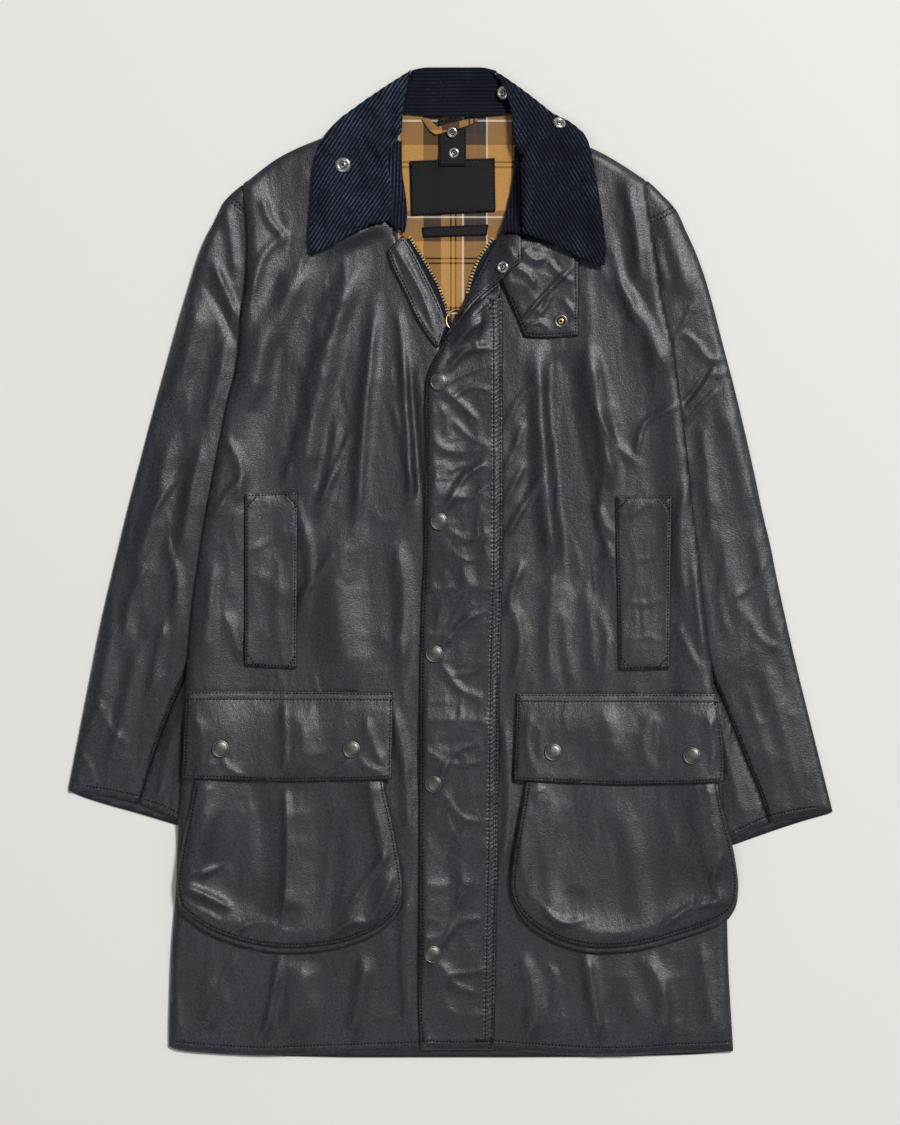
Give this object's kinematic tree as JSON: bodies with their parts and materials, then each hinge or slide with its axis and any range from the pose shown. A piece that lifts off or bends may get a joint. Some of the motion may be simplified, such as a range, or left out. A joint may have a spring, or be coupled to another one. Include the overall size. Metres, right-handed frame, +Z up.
{
  "type": "waxed cotton jacket",
  "caption": "Thigh-length waxed cotton country jacket laid flat, with corduroy collar, storm fly, bellows pockets with snap flaps, handwarmer welts and open zip at the neck.",
  "frame": {"origin": "on the surface it lies on, at the middle of the laid-out jacket's bounding box", "axes": "+Z up from the surface, +Y towards the collar, +X to the wearer's left"},
  "size_m": [0.764, 0.989, 0.0208],
  "materials": {
    "waxed_cotton": "satin wax",
    "corduroy": "ribbed pile",
    "check_lining": "matte woven check",
    "woven_label": "satin weave",
    "webbing": "ribbed webbing",
    "zip_tape": "woven tape",
    "gunmetal": "dark gunmetal",
    "nickel": "bright nickel",
    "brass": "pale brass"
  },
  "bodies": {
    "jacket": {"back": "waxed_cotton", "front_left": "waxed_cotton", "front_right": "waxed_cotton", "storm_fly": "waxed_cotton", "facing_left": "waxed_cotton", "facing_right": "waxed_cotton", "throat_tab": "waxed_cotton", "handwarmer_left": "waxed_cotton", "handwarmer_right": "waxed_cotton", "pocket_left": "waxed_cotton", "pocket_right": "waxed_cotton", "pocket_gusset_left": "waxed_cotton", "pocket_gusset_right": "waxed_cotton", "flap_left": "waxed_cotton", "flap_right": "waxed_cotton", "sleeve_top_left": "waxed_cotton", "sleeve_inner_left": "waxed_cotton", "sleeve_under_left": "waxed_cotton", "sleeve_top_right": "waxed_cotton", "sleeve_inner_right": "waxed_cotton", "sleeve_under_right": "waxed_cotton", "collar_leaf_left": "corduroy", "collar_leaf_right": "corduroy", "collar_stand_left": "corduroy", "collar_stand_right": "corduroy", "collar_band_back": "corduroy", "collar_fall_back": "corduroy", "lining_back": "check_lining", "hanger_loop": "check_lining", "label_main": "woven_label", "label_small": "woven_label", "hood_tab": "webbing", "zip_tape_left": "zip_tape", "zip_tape_right": "zip_tape", "snap_fly_1": "gunmetal", "snap_fly_2": "gunmetal", "snap_fly_3": "gunmetal", "snap_fly_4": "gunmetal", "snap_fly_5": "gunmetal", "snap_flap_right_outer": "gunmetal", "snap_flap_right_inner": "gunmetal", "snap_flap_left_inner": "gunmetal", "snap_flap_left_outer": "gunmetal", "ring_collar_right": "nickel", "ring_collar_left": "nickel", "ring_collar_inside": "nickel", "ring_facing_left": "nickel", "ring_throat_tab": "nickel", "stud_hood_tab_top": "nickel", "stud_hood_tab_low": "nickel", "zip_slider": "brass"},
    "zip_pull": {"zip_pull_ring": "brass"}
  },
  "joints": [
    {"name": "zip_pull_swing", "type": "hinge", "parent": "jacket", "child": "zip_pull", "pos_m": [0.0031, 0.2315, 0.0082], "axis": [0.946, -0.324, 0], "range_deg": [0, 12]}
  ]
}
